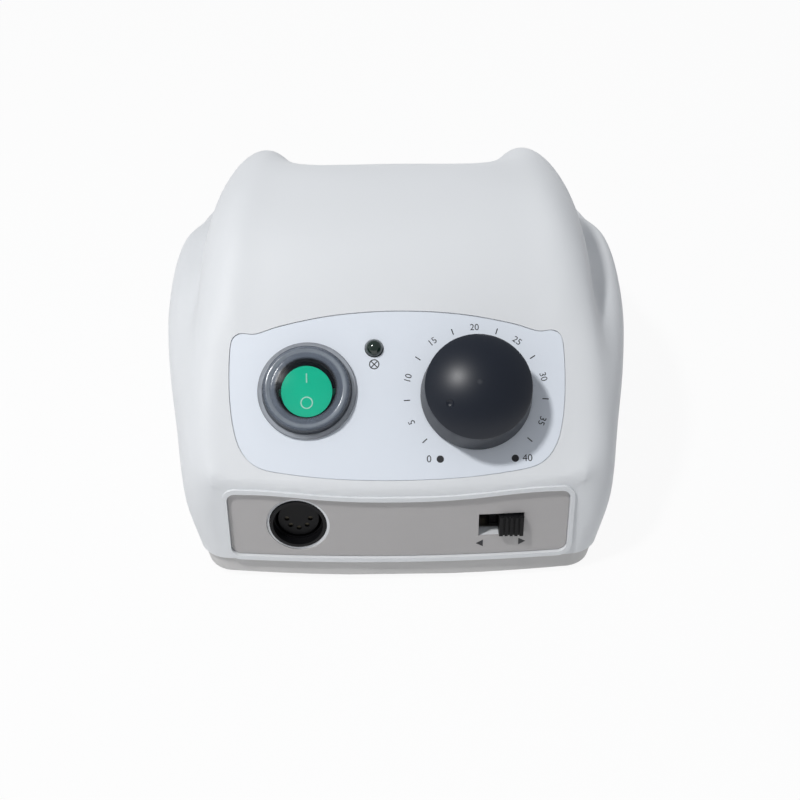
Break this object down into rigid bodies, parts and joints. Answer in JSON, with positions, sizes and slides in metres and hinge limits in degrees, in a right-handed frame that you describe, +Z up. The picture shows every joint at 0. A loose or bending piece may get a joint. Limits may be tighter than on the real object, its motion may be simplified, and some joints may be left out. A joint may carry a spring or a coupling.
{
  "type": "electric nail drill control box",
  "caption": "Desktop control box of an electric nail drill: sloping face with power rocker and speed knob, handpiece socket and direction switch in front.",
  "frame": {"origin": "on the ground under the middle of the whole control box, between its feet", "axes": "+X to the user's right, +Y from the front to the rear, +Z up"},
  "size_m": [0.1461, 0.1648, 0.0917],
  "materials": {
    "casing_white": "satin white moulded ABS",
    "foot_rubber": "matt black rubber",
    "face_film": "fine-textured bluish white printed film",
    "strip_film": "warm grey printed film",
    "black_plastic": "black moulded plastic",
    "rocker_green": "translucent green plastic",
    "boot_clear": "clear flexible vinyl",
    "lamp_dark_green": "dark green tinted resin",
    "knob_navy": "dark navy soft satin plastic",
    "bright_steel": "zinc-plated steel",
    "socket_metal": "black painted metal",
    "contact_metal": "plated brass",
    "aluminium": "plain aluminium",
    "phenolic_brown": "phenolic board",
    "board_green": "green solder mask",
    "capacitor_sleeve": "shrink sleeve",
    "relay_blue": "blue plastic",
    "header_white": "nylon",
    "resistor_beige": "lacquer",
    "core_steel": "varnished laminations",
    "coil_tape": "yellow insulating tape",
    "fuse_glass": "glass tube with metal ends"
  },
  "bodies": {
    "case": {"upper_cover": "casing_white", "base_tray": "casing_white", "rubber_feet": "foot_rubber", "case_screws": "bright_steel", "face_label": "face_film", "front_label": "strip_film", "switch_housing": "black_plastic", "switch_terminals": "contact_metal", "switch_boot": "boot_clear", "pilot_lamp": "lamp_dark_green", "pilot_lamp_leads": "contact_metal", "pilot_lamp_clip": "black_plastic", "pot_body": "bright_steel", "pot_terminals": "contact_metal", "pot_washer": "bright_steel", "pot_nut": "bright_steel", "handpiece_socket_sleeve": "socket_metal", "handpiece_socket_core": "black_plastic", "handpiece_socket_contacts": "contact_metal", "handpiece_socket_screws": "bright_steel", "direction_switch_frame": "bright_steel", "direction_switch_base": "black_plastic", "direction_switch_pins": "contact_metal", "direction_switch_screws": "bright_steel", "control_switch_frame": "bright_steel", "control_switch_base": "phenolic_brown", "control_switch_pins": "contact_metal", "control_switch_screws": "bright_steel", "power_inlet_housing": "black_plastic", "power_inlet_pins": "contact_metal", "power_inlet_screws": "bright_steel", "fuse_holder_body": "black_plastic", "fuse_holder_nut": "black_plastic", "pedal_jack_body": "black_plastic", "pedal_jack_nut": "bright_steel", "pedal_jack_contacts": "contact_metal", "circuit_board": "board_green", "board_screws": "bright_steel", "filter_capacitors": "capacitor_sleeve", "bridge_rectifier": "black_plastic", "heat_sink": "aluminium", "power_transistor": "black_plastic", "control_chips": "black_plastic", "motor_relay": "relay_blue", "board_headers": "header_white", "resistors": "resistor_beige", "transformer_core": "core_steel", "transformer_coil": "coil_tape", "transformer_strap": "bright_steel", "transformer_screws": "bright_steel"},
    "power_rocker": {"switch_rocker": "rocker_green"},
    "speed_control": {"speed_knob": "knob_navy", "pot_shaft": "aluminium"},
    "direction_slider": {"direction_switch_slider": "black_plastic"},
    "control_slider": {"control_switch_slider": "black_plastic"},
    "fuse_cap": {"fuse_cap": "black_plastic", "fuse_link": "fuse_glass"}
  },
  "joints": [
    {"name": "power_rocker_tilt", "type": "hinge", "parent": "case", "child": "power_rocker", "pos_m": [-0.026, -0.05667, 0.05112], "axis": [1, 0, 0], "range_deg": [-16, 0]},
    {"name": "speed_turn", "type": "hinge", "parent": "case", "child": "speed_control", "pos_m": [0.0227, -0.05968, 0.05177], "axis": [0, 0.6691, -0.7431], "range_deg": [-27, 273]},
    {"name": "direction_slide", "type": "slide", "parent": "case", "child": "direction_slider", "axis": [1, 0, 0], "range_m": [-0.0057, 0]},
    {"name": "control_slide", "type": "slide", "parent": "case", "child": "control_slider", "axis": [1, 0, 0], "range_m": [0, 0.0046]},
    {"name": "fuse_cap_draw", "type": "slide", "parent": "case", "child": "fuse_cap", "axis": [0, 1, 0], "range_m": [0, 0.032]}
  ]
}
